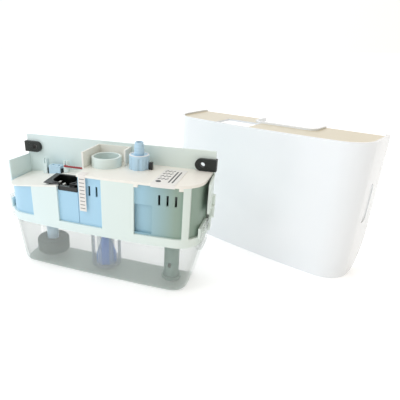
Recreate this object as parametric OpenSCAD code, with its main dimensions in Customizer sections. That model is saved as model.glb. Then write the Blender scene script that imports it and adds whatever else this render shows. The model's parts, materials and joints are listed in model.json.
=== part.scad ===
// Wall-hung condensate pump, shown with its cover lifted off and stood beside it.
// Millimetres, +Z up. The origin is the centre of the tank's flat underside,
// +X is to the right seen from the front, and the wall is on the +Y side.

/* [Body plan] */
// Distance from the rim's left end to the step between the decks
left_bay_w = 89; // [80:1:96]
// Distance from the step to the motor's housing
mid_bay_w = 54.6; // [54:0.2:60]
// Width of the motor's housing with its strap
motor_bay_w = 49.4; // [45:0.2:56]
// Distance from the motor's housing to the rim's right end
end_bay_w = 9; // [7:0.5:14]
// Distance from the wall to the middle of the rim's front
rim_depth = 57; // [55:0.5:64]
// Radius of the rim's front corners
rim_r = 24; // [16:1:25]
// How far the front bows forward in the middle
front_bow = 3; // [1:0.5:5]
// Distance from the wall to the origin
wall_y = 30.5; // [30:0.5:32]

/* [Frame] */
// How far the wall plate stands out past each end of the rim
plate_out = 1.5; // [1:0.25:3]
// Thickness of the wall plate
plate_t = 2.5; // [2:0.25:4]
// Height of the wall plate's top edge
plate_top = 125.5; // [122:0.5:135]
// Height of the rim's lower edge
rim_z = 48.6; // [44:0.2:52]
// Height of the rim band
rim_h = 8.4; // [7:0.2:12]
// Wall of the rim band and of the front straps
rim_t = 2.2; // [1.8:0.1:3]
// Thickness of the frame's floor under the housings
floor_t = 2.4; // [2:0.1:3.2]
// Distance from the rim's left end to the left front strap
strap_left_in = 37; // [32:1:42]
// Distance from the left front strap to the step
strap_left_gap = 22; // [18:1:26]
// Width of the middle front strap
strap_mid_w = 31; // [26:1:34]
// Width of the right front strap
strap_right_w = 5.5; // [4:0.5:7]
// Height of the side wings' top edge
wing_top = 104; // [98:1:112]
// Height of the side wings' lower edge
wing_low = 77; // [72:1:84]
// How far the side wings stand forward of the plate
wing_depth = 31; // [24:1:34]
// Thickness of the side wings
wing_t = 1.8; // [1.6:0.2:3]
// Outward lean of the side wings
wing_flare = 5; // [0:1:8]

/* [Decks] */
// Height of the high deck's top face
high_z = 107; // [104:0.5:112]
// Height of the low deck beside the step
low_z = 93.2; // [90:0.2:96]
// Drop of the low deck at its left end
low_drop = 9.2; // [4:0.2:12]
// Thickness of the high deck
deck_t = 2.4; // [2:0.1:3]
// Thickness of the low deck
low_deck_t = 1.4; // [1.2:0.1:2]
// Height of the fence round the inlet collar
fence_h = 15.5; // [11:0.5:16]
// Thickness of the fence
fence_t = 1.6; // [1.2:0.1:2.4]

/* [Tank] */
// Wall of the clear tank
tank_t = 2; // [1.6:0.1:3]
// How far the tank tapers in at each end towards its flat underside
tank_taper = 11; // [8:0.5:14]
// Depth of the tank's flat underside
tank_floor_d = 42; // [36:1:44]
// Width of each snap loop
loop_w = 22; // [16:1:26]
// Height of each snap loop above the rim's lower edge
loop_h = 18.5; // [15:0.5:22]
// Thickness of each snap loop
loop_t = 1.6; // [1.2:0.1:2]

/* [Inlet] */
// Distance from the step to the inlet collar's middle
inlet_in = 13.4; // [13:0.1:14]
// Place of the inlet collar along Y
inlet_y = 9.8; // [9:0.1:10]
// Bore radius of the inlet collar
inlet_bore_r = 12; // [10:0.25:12.2]
// Wall of the inlet collar above the deck
inlet_wall = 2.5; // [2:0.1:2.6]
// Height of the inlet collar above the high deck
inlet_h = 9.4; // [6:0.2:12]
// Outer radius of the strainer basket
strainer_r = 15.4; // [14:0.1:16]
// Height of the strainer basket's underside
strainer_z = 4; // [3:0.5:8]
// Number of windows round the strainer basket
strainer_windows = 8; // [6:1:12]

/* [Discharge] */
// Distance from the discharge valve to the motor's housing
valve_in = 8.6; // [8:0.2:9]
// Place of the discharge valve along Y
valve_y = 12.5; // [11:0.5:14]
// Outer radius of the fluted nut
nut_r = 9.8; // [9:0.1:10.5]
// Height of the fluted nut
nut_h = 13; // [10:0.5:16]
// Number of flutes round the nut
nut_flutes = 8; // [6:1:12]
// Outer radius of the hose spigot
spigot_r = 4.5; // [4:0.1:5.5]
// Bore radius of the hose spigot
spigot_bore_r = 3; // [2:0.1:3.4]
// Height of the hose spigot above the nut
spigot_h = 12; // [8:0.5:18]
// Radius of the non-return ball
ball_r = 3.6; // [3.4:0.1:4]
// Lift of the non-return ball
ball_lift = 2.5; // [1:0.25:3]

/* [Float] */
// Distance from the rim's left end to the float's middle
float_in = 39; // [36:0.5:42]
// Place of the float along Y
float_y = 1.7; // [1:0.1:2.4]
// Radius of the float
float_r = 16.8; // [15:0.1:17]
// Thickness of the float
float_h = 15; // [10:0.5:18]
// Radius of the float's guide stem
stem_r = 6.2; // [4:0.1:6.5]
// Gap between the float and its stem
stem_gap = 0.5; // [0.3:0.05:0.8]
// Lift of the float
float_lift = 20; // [8:1:22]

/* [Pump] */
// Distance from the motor and the pump leg to the housing's right end
pump_in = 20; // [19.6:0.2:22]
// Place of the motor and the pump leg along Y
pump_y = 2.5; // [1:0.5:4]
// Outer radius of the pump leg
leg_r = 7.5; // [7:0.1:8.5]
// Bore radius of the pump leg
leg_bore_r = 6.1; // [5.6:0.1:6.4]
// Radius of the impeller
impeller_r = 5.4; // [4.6:0.1:5.6]
// Number of impeller blades
impeller_blades = 5; // [3:1:7]
// Radius of the motor shaft
shaft_r = 1.5; // [1.2:0.1:2]
// Running gap round the shaft
shaft_gap = 0.05; // [0.02:0.01:0.09]
// Outer radius of the motor's stator
stator_r = 17.2; // [15:0.2:17.4]
// Height of the motor's stator
stator_h = 20; // [14:1:24]
// Radius of the rotor
rotor_r = 9; // [7:0.25:10]

/* [Mains inlet] */
// Distance from the mains inlet's middle to the step
mains_in = 19.7; // [19.2:0.1:20.2]
// Place of the mains inlet along Y
mains_y = -11.6; // [-12:0.1:-11]
// Length of the inlet's flange
mains_w = 36.4; // [34:0.2:36.6]
// Depth of the inlet's flange
mains_d = 23.4; // [22.5:0.1:23.8]
// Distance between the outer pins
pin_pitch = 14; // [13.6:0.1:14.4]

/* [Cover] */
// Wall of the cover
cover_t = 2.2; // [1.8:0.1:3]
// Gap between each end of the rim and the cover
cover_side = 4.2; // [4:0.1:8]
// Gap between the rim's front and the cover
cover_gap = 6.5; // [3:0.1:8]
// How far the cover's front bows forward in the middle
cover_bow = 3.5; // [3:0.5:6]
// Outer radius of the cover's front corners
cover_r = 26; // [22:1:32]
// Height of the cover
cover_h = 137; // [134:0.5:142]
// Height to which the cover's lower back is cut away
cover_cut_h = 52; // [30:1:60]
// Distance along X from the pump to the stood cover's middle
park_x = 140.7; // [135:0.1:260]
// Distance along Y from the pump to the stood cover's middle
park_y = 124.4; // [115:0.1:190]
// Angle to which the stood cover is turned
park_turn = -24.5; // [-30:0.5:-20]

/* [Hidden] */

// One overrun for every cut, the gap between bodies that slide past each other and thin air gaps
over = 1;
slide_gap = 0.3;
seat_gap = 0.4;

// Segments of the outlines' corner arcs and of their bowed fronts
corner_n = 12;
bow_n = 12;

// Angle of an arc's start where it faces the front
front_a = 270;

// Places along the body, from the rim's left end to its right end
rim_w = left_bay_w + mid_bay_w + motor_bay_w + end_bay_w;
left_x = -rim_w / 2;
high_x = left_x + left_bay_w;
motor_left = high_x + mid_bay_w;
motor_right = motor_left + motor_bay_w;
inlet_x = high_x + inlet_in;
mains_x = high_x - mains_in;
valve_x = motor_left - valve_in;
float_x = left_x + float_in;
pump_x = motor_right - pump_in;
plate_w = rim_w + 2 * plate_out;

// Heights worked out from the rim
floor_z = rim_z + rim_h - floor_t;
base_z = rim_z + rim_h;
plate_y = wall_y - plate_t;
front_y = wall_y - rim_depth;
deck_low = high_z - deck_t;
low_low = low_z - low_deck_t;
back_r = 2;

// How far the housings stand behind the straps and the walls of the housings
housing_inset = rim_t;
housing_t = 1.6;
housing_back_y = plate_y - 2.5 * rim_t;

function arc(x, y, r, a0, a1, n) =
    [for (i = [0:n]) let (a = a0 + (a1 - a0) * i / n) [x + r * cos(a), y + r * sin(a)]];

// Outline with a straight back, rounded front corners and a bowed front that runs smoothly into them
function d_plan(w, back, front, r, bow) =
    let (half = w / 2 - r, a = atan(2 * bow / half), end = half + r * sin(a), sag = end * tan(a) / 2,
         y = front + sag + r * cos(a))
    concat(arc(w / 2 - back_r, back - back_r, back_r, 0, 90, corner_n / 3),
           arc(-w / 2 + back_r, back - back_r, back_r, 90, 180, corner_n / 3),
           arc(-half, y, r, 180, front_a - a, corner_n),
           [for (i = [1:bow_n - 1]) let (s = -1 + 2 * i / bow_n) [s * end, front + sag * s * s]],
           arc(half, y, r, front_a + a, 360, corner_n));

// The rim's outline drawn in by a distance
function rim_plan(inset) =
    d_plan(rim_w - 2 * inset, plate_y - inset, front_y + inset, max(rim_r - inset, back_r + over), front_bow);

module rim_solid(inset, z0, z1) {
    translate([0, 0, z0]) linear_extrude(z1 - z0) polygon(rim_plan(inset));
}

// A tube of the rim's outline, with its wall drawn inwards
module rim_tube(inset, t, z0, z1) {
    translate([0, 0, z0]) linear_extrude(z1 - z0) difference() {
        polygon(rim_plan(inset));
        polygon(rim_plan(inset + t));
    }
}

// A block between two corners
module block(low, high) {
    translate(low) cube(high - low);
}

module rod(x, y, r, z0, z1) {
    translate([x, y, z0]) cylinder(h = z1 - z0, r = r, $fn = 64);
}

module ring(x, y, r, bore, z0, z1) {
    difference() {
        rod(x, y, r, z0, z1);
        rod(x, y, bore, z0 - over, z1 + over);
    }
}

// A plate with round ends, lying along X, its middle at the origin
module stadium(w, d, h) {
    for (s = [-1, 1]) translate([s * (w - d) / 2, 0, 0]) cylinder(h = h, r = d / 2, $fn = 48);
    translate([-(w - d) / 2, -d / 2, 0]) cube([w - d, d, h]);
}

module mirrored() {
    children();
    mirror([1, 0, 0]) children();
}

// Frame: rim with its front straps and cheeks, base pan, and wall plate with its side wings
ear_drop = 12.6;
ear_z = plate_top - ear_drop;
ear_in = 11.3;
ear_x = plate_w / 2 - ear_in;
ear_w = 20;
ear_h = 11.4;
ear_t = 3.6;
ear_wrap = 1.6;
ear_hole_r = 2.3;
ear_boss_r = 4.8;
wing_leg_d = 8;
wing_out = 2.4;
catch_w = 7;
catch_h = 4;
catch_t = 1.4;
cheek_h = 9;
cheek_w = 26;
cheek_t = 2;
loop_y = 1;
nib_share = 0.6;

module strap(x0, x1, top) {
    intersection() {
        rim_tube(0, rim_t, base_z - over, top);
        block([x0, front_y - over, base_z - over], [x1, front_y + rim_r, top]);
    }
}

// Side wing that leans outwards, with its narrow leg and the stepped catch for the cover
module wing() {
    translate([rim_w / 2, plate_y, 0]) rotate([0, 0, wing_flare]) {
        rotate([90, 0, 90]) linear_extrude(wing_t) polygon([
            [over, rim_z + rim_t], [over, wing_top], [-wing_depth, wing_top], [-wing_depth, wing_low],
            [-wing_leg_d, wing_low - wing_leg_d / 2], [-wing_leg_d, rim_z + rim_t]]);
        rotate([90, 0, 90]) linear_extrude(wing_t + wing_out) polygon([
            [0, wing_low + wing_leg_d], [-wing_leg_d * nib_share, wing_low + wing_leg_d],
            [-wing_leg_d * nib_share, wing_low], [-wing_leg_d, wing_low - wing_t],
            [-wing_leg_d, base_z + wing_leg_d], [-wing_t, base_z + wing_leg_d / 2],
            [0, base_z + wing_leg_d / 2]]);
    }
}

// Cheek on the rim's side with the nub that the tank's loop snaps over
module cheek() {
    y0 = loop_y - cheek_w / 2;
    block([rim_w / 2 - cheek_t, y0, base_z - over], [rim_w / 2, y0 + cheek_w, base_z + cheek_h]);
    block([rim_w / 2 - over, loop_y - catch_w / 2, base_z + over],
          [rim_w / 2 + catch_t, loop_y + catch_w / 2, base_z + over + catch_h]);
}

module cradle() {
    color("#eef1ee") {
        rim_tube(0, rim_t, rim_z, base_z);
        // The left strap's top follows the low deck's slope
        under_low_deck() strap(left_x + strap_left_in, cheek_x, low_z);
        strap(strap_mid_x, strap_mid_x + strap_mid_w, deck_low);
        strap(motor_right - strap_right_w, motor_right, deck_low);
        mirrored() cheek();
    }
}

// Flat pan inside the rim that carries the housings
module base_pan() {
    color("#eef1ee") difference() {
        rim_solid(rim_t, floor_z, base_z);
        rod(inlet_x, inlet_y, inlet_bore_r + inlet_wall - over + seat_gap / 2, floor_z - over, base_z + over);
        rod(float_x, float_y, stem_r, floor_z - over, base_z + over);
        rod(pump_x, pump_y, leg_r, floor_z - over, base_z + over);
    }
}

module wall_plate() {
    color("#eef1ee") difference() {
        union() {
            block([-plate_w / 2, plate_y, rim_z + rim_t], [plate_w / 2, wall_y, plate_top]);
            mirrored() wing();
        }
        for (s = [-1, 1]) translate([s * ear_x, wall_y + over, ear_z]) rotate([90, 0, 0])
            cylinder(h = plate_t + 2 * over, r = ear_boss_r, $fn = 48);
    }
}

// Rubber wall mounts: a pad, a wrap round the plate's edge and a bush through the plate
module wall_ear() {
    inner = plate_w / 2 - ear_w + ear_wrap;
    difference() {
        union() {
            translate([inner + ear_h / 2, plate_y, ear_z]) rotate([90, 0, 0])
                cylinder(h = ear_t, r = ear_h / 2, $fn = 48);
            block([inner + ear_h / 2, plate_y - ear_t, ear_z - ear_h / 2],
                  [plate_w / 2 + ear_wrap, plate_y, ear_z + ear_h / 2]);
            block([plate_w / 2, plate_y - ear_t, ear_z - ear_h / 2],
                  [plate_w / 2 + ear_wrap, wall_y, ear_z + ear_h / 2]);
            translate([ear_x, wall_y, ear_z]) rotate([90, 0, 0])
                cylinder(h = plate_t + over, r = ear_boss_r, $fn = 48);
        }
        translate([ear_x, wall_y + over, ear_z]) rotate([90, 0, 0])
            cylinder(h = plate_t + ear_t + 2 * over, r = ear_hole_r, $fn = 48);
    }
}

module wall_ear_left() { color("#1d2224") mirror([1, 0, 0]) wall_ear(); }
module wall_ear_right() { color("#1d2224") wall_ear(); }

// Decks: the sloping low deck, the high deck with the step below it, and the fence
mains_hole_w = 28.4;
mains_hole_d = 20.6;
cheek_x = high_x - strap_left_gap;
strap_mid_x = motor_left + 2 * seat_gap - strap_mid_w;
fence_x = inlet_x - inlet_bore_r - inlet_wall - fence_t - over;
fence_w = 35.4;
fence_front = -8;
fence_right_y = 13;
step_y = mains_y + mains_d / 2 + seat_gap;
tab_w = 3.6;
tab_h = 2.6;

// The low deck's sheet, level beside the step and sloping down to the left
module low_sheet() {
    left = left_x - over;
    rotate([90, 0, 0]) linear_extrude(2 * rim_depth, center = true) polygon([
        [high_x, low_low], [high_x, low_z], [cheek_x, low_z], [left, low_z - low_drop],
        [left, low_low - low_drop], [cheek_x, low_low]]);
}

// Cuts its children off at the low deck's underside
module under_low_deck() {
    left = left_x - over;
    difference() {
        children();
        rotate([90, 0, 0]) linear_extrude(2 * rim_depth, center = true) polygon([
            [high_x + over, low_low], [cheek_x, low_low], [left, low_low - low_drop],
            [left, high_z], [high_x + over, high_z]]);
    }
}

// Cuts its children off at the low deck's top face
module on_low_deck() {
    left = left_x - over;
    difference() {
        children();
        rotate([90, 0, 0]) linear_extrude(2 * rim_depth, center = true) polygon([
            [high_x + over, base_z], [high_x + over, low_z], [cheek_x, low_z], [left, low_z - low_drop],
            [left, base_z]]);
    }
}

module low_deck() {
    color("#f4efe2") difference() {
        intersection() {
            rim_solid(0, floor_z, high_z);
            low_sheet();
        }
        block([fence_x, step_y, low_low - over], [high_x + over, wall_y, low_z + over]);
        block([mains_x - mains_hole_w / 2, mains_y - mains_hole_d / 2, low_low - low_drop],
              [mains_x + mains_hole_w / 2, mains_y + mains_hole_d / 2, low_z + over]);
        block([cheek_x, front_y - over, low_low - over], [high_x + over, mains_y, low_z + over]);
    }
}

// The fence stands on the high deck's left edge, the wall plate and the collar's right side
module fence() {
    right = fence_x + fence_w;
    block([fence_x, fence_front, deck_low], [fence_x + fence_t, plate_y, high_z + fence_h]);
    block([fence_x, plate_y - fence_t, deck_low], [right, plate_y, high_z + fence_h]);
    block([right - fence_t, fence_right_y, deck_low], [right, plate_y, high_z + fence_h]);
}

module deck() {
    color("#f4efe2") difference() {
        union() {
            intersection() {
                rim_solid(0, deck_low, high_z);
                block([high_x, front_y - over, deck_low], [rim_w, plate_y + over, high_z]);
            }
            block([fence_x, fence_front, deck_low], [high_x + over, plate_y, high_z]);
            block([fence_x, step_y, low_low], [fence_x + fence_t, plate_y, deck_low + over]);
            fence();
            // Tabs that hang from the lip beside the straps
            intersection() {
                rim_tube(0, rim_t, deck_low - tab_h, high_z);
                for (x = [motor_left + 2 * seat_gap, motor_right - strap_right_w - tab_w])
                    block([x, front_y - over, deck_low - tab_h], [x + tab_w, front_y + rim_r, high_z]);
            }
        }
        rod(inlet_x, inlet_y, inlet_bore_r + inlet_wall, deck_low - over, high_z + over);
        rod(valve_x, valve_y, nut_r - fence_t, deck_low - over, high_z + over);
    }
}

// Inlet: collar with its drop tube, strainer basket and spreader cone
drop_t = inlet_wall - over;
strainer_t = 1.4;
basket_foot = 3;
window_w = 7.5;
window_drop = 6;
window_top = floor_z - window_drop;
cone_r = 10.4;
cone_stem_r = 3;
cone_top = 36;
cone_low = 14;
spider_t = 2;

module inlet_collar() {
    color("white") difference() {
        union() {
            rod(inlet_x, inlet_y, inlet_bore_r + inlet_wall, deck_low, high_z + inlet_h);
            rod(inlet_x, inlet_y, inlet_bore_r + drop_t, floor_z - rim_t, high_z);
        }
        rod(inlet_x, inlet_y, inlet_bore_r, floor_z - rim_t - over, high_z + inlet_h + over);
    }
}

strainer_in = 7;
strainer_y = inlet_y - strainer_in;

module strainer() {
    color("gainsboro", 0.5) difference() {
        union() {
            ring(inlet_x, strainer_y, strainer_r, strainer_r - strainer_t, strainer_z, floor_z);
            rod(inlet_x, strainer_y, strainer_r, strainer_z, strainer_z + strainer_t);
        }
        for (i = [0:strainer_windows - 1]) translate([inlet_x, strainer_y, 0])
            rotate([0, 0, 360 * (i + 0.5) / strainer_windows])
                block([strainer_r - 2 * strainer_t, -window_w / 2, strainer_z + basket_foot],
                      [strainer_r + over, window_w / 2, window_top]);
        rod(inlet_x, inlet_y, inlet_bore_r + drop_t + seat_gap / 2, floor_z - rim_t - over, floor_z + over);
    }
}

module spreader_cone() {
    foot = strainer_z + strainer_t;
    color("#5d8fd6") {
        translate([inlet_x, strainer_y, 0]) rotate_extrude($fn = 64) polygon([
            [0, foot], [cone_r, foot], [cone_r, cone_low], [cone_stem_r, cone_top],
            [cone_stem_r, window_top - over], [0, window_top]]);
    }
}

// Discharge: valve body, nut, seal, ball, hose spigot and the riser from the pump
valve_wall = 1.8;
chamber_r = ball_r + 1;
seat_share = 0.7;
seat_r = ball_r * seat_share;
valve_reach = 14;
valve_low = deck_low - valve_reach;
ball_rise = 7;
ball_z = valve_low + ball_rise;
cage_t = 1.2;
nut_lip = 2;
flute_r = 2.2;
seal_t = 1.4;
barb_pitch = 2.6;
barb_out = 0.5;
barb_n = 3;
tip_h = 2.4;
riser_bend = 9;
riser_z = base_z + housing_t + seat_r + valve_wall;

module valve_body() {
    // The ball rests on the lower edge and lifts until it meets the cage's ring
    crown = sqrt(ball_r * ball_r - seat_r * seat_r);
    seat_z = ball_z - crown;
    cage_z = ball_z + crown + ball_lift + 2 * slide_gap;
    top = high_z + nut_h - nut_lip - seal_t - seat_gap;
    color("#a9c9e8") difference() {
        union() {
            rod(valve_x, valve_y, chamber_r + valve_wall, valve_low, top);
            rod(valve_x, valve_y, nut_r - fence_t, deck_low - deck_t, deck_low);
        }
        rod(valve_x, valve_y, seat_r, valve_low - over, high_z + nut_h + over);
        rod(valve_x, valve_y, chamber_r, seat_z, cage_z);
        rod(valve_x, valve_y, chamber_r, cage_z + cage_t, high_z + nut_h + over);
    }
}

module valve_ball() {
    color("white") translate([valve_x, valve_y, ball_z + slide_gap]) sphere(r = ball_r, $fn = 48);
}

module valve_seal() {
    color("#1d2224") ring(valve_x, valve_y, chamber_r + valve_wall, spigot_bore_r + seat_gap,
        high_z + nut_h - nut_lip - seal_t - seat_gap, high_z + nut_h - nut_lip - seat_gap);
}

module valve_nut() {
    bore = chamber_r + valve_wall + seat_gap / 2;
    color("#a9c9e8") difference() {
        rod(valve_x, valve_y, nut_r, high_z, high_z + nut_h);
        rod(valve_x, valve_y, bore, high_z - over, high_z + nut_h - nut_lip + seat_gap);
        rod(valve_x, valve_y, spigot_r + seat_gap / 2, high_z, high_z + nut_h + over);
        for (i = [0:nut_flutes - 1]) translate([valve_x, valve_y, 0])
            rotate([0, 0, 360 * i / nut_flutes + 180 / nut_flutes])
                rod(nut_r + flute_r * nib_share, 0, flute_r, high_z - over, high_z + nut_h - nut_lip);
    }
}

module hose_spigot() {
    top = high_z + nut_h + spigot_h;
    foot = high_z + nut_h - nut_lip - seat_gap;
    color("#bcd6ee") difference() {
        union() {
            rod(valve_x, valve_y, spigot_r, foot, top - tip_h);
            rod(valve_x, valve_y, spigot_r - barb_out, top - tip_h - over / 2, top);
            rod(valve_x, valve_y, chamber_r + valve_wall, foot, foot + 2 * seat_gap);
            for (i = [0:barb_n - 1]) translate([valve_x, valve_y, top - tip_h - barb_pitch * (i + 1)])
                cylinder(h = barb_pitch * nib_share, r1 = spigot_r + barb_out, r2 = spigot_r, $fn = 64);
        }
        rod(valve_x, valve_y, spigot_bore_r, foot - over, top + over);
    }
}

// Riser from the pump leg's head, along X and up to the valve
module riser_tube() {
    r = seat_r + valve_wall;
    run = pump_x - leg_r - over - valve_x - riser_bend;
    rise = valve_low - riser_z - riser_bend;
    color("gainsboro") {
        translate([valve_x, valve_y, riser_z + riser_bend]) difference() {
            cylinder(h = rise, r = r, $fn = 48);
            translate([0, 0, -over]) cylinder(h = rise + 2 * over, r = seat_r, $fn = 48);
        }
        translate([valve_x + riser_bend, valve_y, riser_z + riser_bend]) rotate([90, 0, 0])
            rotate([0, 0, 180]) rotate_extrude(angle = 90, $fn = 64) translate([riser_bend, 0]) difference() {
                circle(r = r, $fn = 48);
                circle(r = seat_r, $fn = 48);
            }
        translate([valve_x + riser_bend, valve_y, riser_z]) rotate([0, 90, 0]) difference() {
            cylinder(h = run, r = r, $fn = 48);
            translate([0, 0, -over]) cylinder(h = run + 2 * over, r = seat_r, $fn = 48);
        }
    }
}

// Housings behind the straps, open at the top and closed by the decks
slot_w = 2;
slot_h = 9.5;
slot_z = 87;
control_back_y = inlet_y - inlet_bore_r - drop_t - seat_gap - over / 2;
slot_first = 10.7;
slot_pitch = 7.3;
control_slots = [for (i = [0:1]) high_x + slot_first + i * slot_pitch];
motor_slots = [for (i = [-1:1]) pump_x + i * slot_pitch];
ledge_z = 86;
ledge_w = 16.8;
ledge_x = motor_left + ledge_w;
ledge_d = 2.6;
split_in = 50;
housing_split = left_x + split_in;
control_right = valve_x - nut_r + rim_t;

module housing_block(x0, x1, y1, z0, z1, inset) {
    intersection() {
        rim_solid(inset, z0, z1);
        block([x0, front_y - over, z0], [x1, y1, z1]);
    }
}

module housing(x0, x1, y1, z1) {
    difference() {
        housing_block(x0, x1, y1, base_z, z1, housing_inset);
        housing_block(x0 + housing_t, x1 - housing_t, y1 - housing_t, base_z + housing_t, z1 + over,
                      housing_inset + housing_t);
    }
}

module vent_slots(places) {
    for (x = places) block([x, front_y - over, slot_z], [x + slot_w, front_y + rim_r / 2, slot_z + slot_h]);
}

module float_housing() {
    color("#9fc4ea") difference() {
        under_low_deck() housing(left_x + wing_t + over, housing_split, housing_back_y, low_z);
        rod(float_x, float_y, stem_r + seat_gap / 2, base_z - over, base_z + housing_t + over);
    }
}

module inlet_housing() {
    color("#9fc4ea") difference() {
        under_low_deck() housing(housing_split + seat_gap, high_x - seat_gap, housing_back_y, low_z);
        block([cheek_x, front_y - over, mains_cheek_z], [high_x, mains_y - mains_d / 2 + mains_cheek_t, low_z]);
    }
}

module control_housing() {
    color("#9fc4ea") difference() {
        housing(high_x, control_right, control_back_y, deck_low);
        vent_slots(control_slots);
    }
}

module motor_housing() {
    color("#93b7c9") difference() {
        union() {
            housing(motor_left, motor_right - seat_gap, housing_back_y, deck_low);
            housing_block(motor_left + housing_t, ledge_x + housing_t, front_y + 3 * ledge_d, base_z, ledge_z,
                          housing_inset);
        }
        housing_block(motor_left - over, ledge_x, front_y + housing_inset + ledge_d + front_bow / 3,
                      base_z + housing_t, ledge_z, 0);
        vent_slots(motor_slots);
        translate([motor_left - over, valve_y, riser_z]) rotate([0, 90, 0])
            cylinder(h = housing_t + 2 * over, r = seat_r + valve_wall + seat_gap, $fn = 48);
        rod(pump_x, pump_y, leg_r + seat_gap / 2, base_z - over, base_z + housing_t + over);
    }
}

module end_housing() {
    color("#8fb0b6") housing(motor_right, rim_w / 2 - cheek_t - seat_gap, housing_back_y, deck_low);
}

// Mains inlet: moulded body whose top face slopes to the front, its socket and three pins
mains_rear = 2.8;
mains_front = 0.5;
mains_body_h = 20;
mains_wall = 1.9;
rim_band = 1.2;
rim_rise = 0.7;
socket_depth = 16;
socket_cut = 4;
mains_cheek_z = 88.2;
mains_cheek_t = 3;
cheek_drop = 1;
pin_w = 2;
pin_d = 4;
pin_len = 21;
pin_low = 18;
earth_shift = -4;

// Socket's outline grown by a distance, its front corners cut off so that a plug fits one way round
module socket_plan(grow) {
    w = mains_hole_w / 2 - seat_gap - mains_wall + grow;
    d = mains_hole_d / 2 - seat_gap - mains_wall + grow;
    translate([mains_x, mains_y]) polygon([[-w, d], [w, d], [w, -d + socket_cut], [w - socket_cut, -d],
                                           [-w + socket_cut, -d], [-w, -d + socket_cut]]);
}

// Everything above the inlet's sloping top face moved up by a distance
module above_mains(shift) {
    front = mains_y - mains_d / 2;
    slope = (mains_rear - mains_front) / mains_d;
    translate([mains_x - mains_w, 0, low_z + shift]) rotate([90, 0, 90]) linear_extrude(2 * mains_w) polygon([
        [front - over, mains_front - slope * over], [front + mains_d + over, mains_rear + slope * over],
        [front + mains_d + over, mains_body_h], [front - over, mains_body_h]]);
}

module mains_inlet() {
    top = low_z + mains_rear + over;
    w = mains_hole_w / 2 - seat_gap;
    d = mains_hole_d / 2 - seat_gap;
    front = mains_y - mains_d / 2;
    right = mains_x + mains_w / 2;
    color("#17191a") difference() {
        union() {
            difference() {
                union() {
                    block([mains_x - mains_w / 2, front, low_z], [right, front + mains_d, top]);
                    block([mains_x - w, mains_y - d, low_z - mains_body_h], [mains_x + w, mains_y + d, top]);
                    block([cheek_x + seat_gap, front, mains_cheek_z], [right, front + mains_cheek_t, top]);
                }
                above_mains(0);
            }
            difference() {
                translate([0, 0, low_z - over]) linear_extrude(2 * over + mains_rear + rim_rise)
                    socket_plan(rim_band);
                above_mains(rim_rise);
            }
        }
        translate([0, 0, low_z + mains_rear - socket_depth]) linear_extrude(socket_depth + 2 * over)
            socket_plan(0);
        // The front cheek stands lower than the deck
        block([cheek_x + seat_gap, front - over, low_z - cheek_drop],
              [right + over, mains_y - d + mains_wall, top + over]);
        for (p = pin_places) translate([mains_x + p[0], mains_y + p[1], 0])
            block([-pin_w / 2, -pin_d / 2, low_z - mains_body_h - over], [pin_w / 2, pin_d / 2, low_z]);
    }
}

pin_places = [[-pin_pitch / 2, 0], [pin_pitch / 2, 0], [0, earth_shift]];

module mains_pins() {
    color("silver") for (p = pin_places) translate([mains_x + p[0], mains_y + p[1], low_z - pin_low])
        block([-pin_w / 2, -pin_d / 2, -over], [pin_w / 2, pin_d / 2, pin_len - socket_cut]);
}

// Alarm terminals: two white posts, the block between them, its blades and the red wire
post_w = 4.8;
post_d = 5;
post_rise = 10.5;
post_y = 19;
post_in = 26.2;
post_pitch = 25.2;
post_places = [left_x + post_in, left_x + post_in + post_pitch];
post_slot = 1.4;
block_w = 14;
block_d = 8;
block_h = 8;
blade_w = 0.8;
blade_d = 5;
blade_h = 5.5;
wire_r = 1;
wire_y = 15;
wire_rise = 7.6;

function low_top(x) = low_z - low_drop * max(0, cheek_x - x) / (cheek_x - left_x + over);

module terminal_posts() {
    top = low_z + post_rise;
    color("white") on_low_deck() for (x = post_places) difference() {
        block([x - post_w / 2, post_y - post_d / 2, low_low - low_drop],
              [x + post_w / 2, post_y + post_d / 2, top]);
        block([x - post_slot / 2, post_y - post_d, top - post_rise / 2],
              [x + post_slot / 2, post_y + post_d, top + over]);
    }
}

module terminal_block() {
    x = (post_places[0] + post_places[1]) / 2;
    top = low_top(x) + block_h;
    color("#bcd6ee") on_low_deck() difference() {
        block([x - block_w / 2, post_y - block_d / 2, low_low - low_drop],
              [x + block_w / 2, post_y + block_d / 2, top]);
        for (s = [-1, 1]) rod(x + s * block_w / 4, post_y, post_slot, top - block_h / 2, top + over);
    }
}

module terminal_blades() {
    x = (post_places[0] + post_places[1]) / 2;
    front = post_y - block_d / 2;
    color("#3a3f42") on_low_deck() for (s = [-1, 1])
        block([x + s * (block_w / 2 + over) - blade_w / 2, front, low_low - low_drop],
              [x + s * (block_w / 2 + over) + blade_w / 2, front + blade_d, low_top(x) + blade_h]);
}

module red_wire() {
    z = low_top(post_places[1]) + wire_rise;
    from = post_places[1];
    color("#c8202c") {
        translate([from, wire_y, z]) rotate([0, 90, 0]) cylinder(h = fence_x - from, r = wire_r, $fn = 24);
        translate([from, wire_y, z]) sphere(r = wire_r, $fn = 24);
        translate([from, wire_y, z]) rotate([-90, 0, 0])
            cylinder(h = post_y - post_d / 2 - wire_y, r = wire_r, $fn = 24);
    }
}

// Labels, bare of any print
label_t = 0.3;
label_in = 33.4;
label_x = motor_right - label_in;
label_w = 21;
label_d = 46;
label_fold = 3;
strip_in = 2.2;
strip_x = high_x + strip_in;
strip_w = 7.2;
strip_drop = 35;
strip_back = 8;

module folded_label(x, w, back, drop, inset) {
    intersection() {
        difference() {
            rim_solid(inset - label_t, high_z - drop, high_z + label_t);
            rim_solid(inset, high_z - drop - over, high_z);
        }
        block([x, front_y - over, high_z - drop], [x + w, front_y + back, high_z + label_t]);
    }
}

module rating_label() { color("#f2efe9") folded_label(label_x, label_w, label_d, label_fold, 0); }
module strip_label() { color("#f2efe9") folded_label(strip_x, strip_w, strip_back, strip_drop, 0); }

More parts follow.
